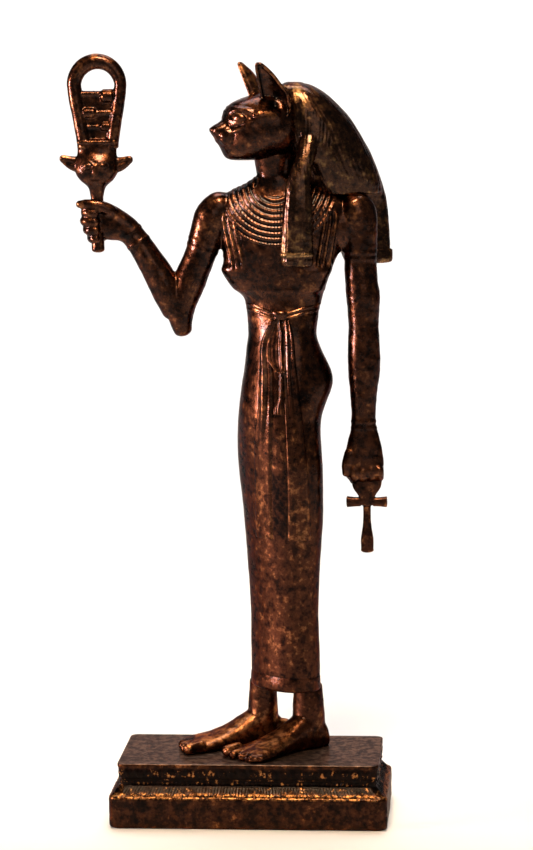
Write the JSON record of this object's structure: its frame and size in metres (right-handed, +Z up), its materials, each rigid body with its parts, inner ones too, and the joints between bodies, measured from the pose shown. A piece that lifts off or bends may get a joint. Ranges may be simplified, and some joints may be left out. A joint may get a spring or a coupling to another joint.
{
  "type": "cat goddess figure",
  "caption": "Standing cat-headed goddess in a sheath dress on a stepped plinth, a looped rattle in the raised hand and an ankh in the lowered one.",
  "frame": {"origin": "middle of the plinth's underside", "axes": "+Z up; -Y is the way the chest faces, towards the viewer; -X is the way the head looks"},
  "size_m": [0.1271, 0.0601, 0.2988],
  "materials": {
    "figure_bronze_finish": "cold-cast resin, nearly black brown with rubbed copper and old-gold highlights, glossy",
    "plinth_bronze_finish": "cold-cast resin, dark brown with mottled copper on the sides and a satin grey-brown top"
  },
  "bodies": {
    "root": {"plinth": "plinth_bronze_finish", "figure": "figure_bronze_finish"}
  },
  "joints": []
}
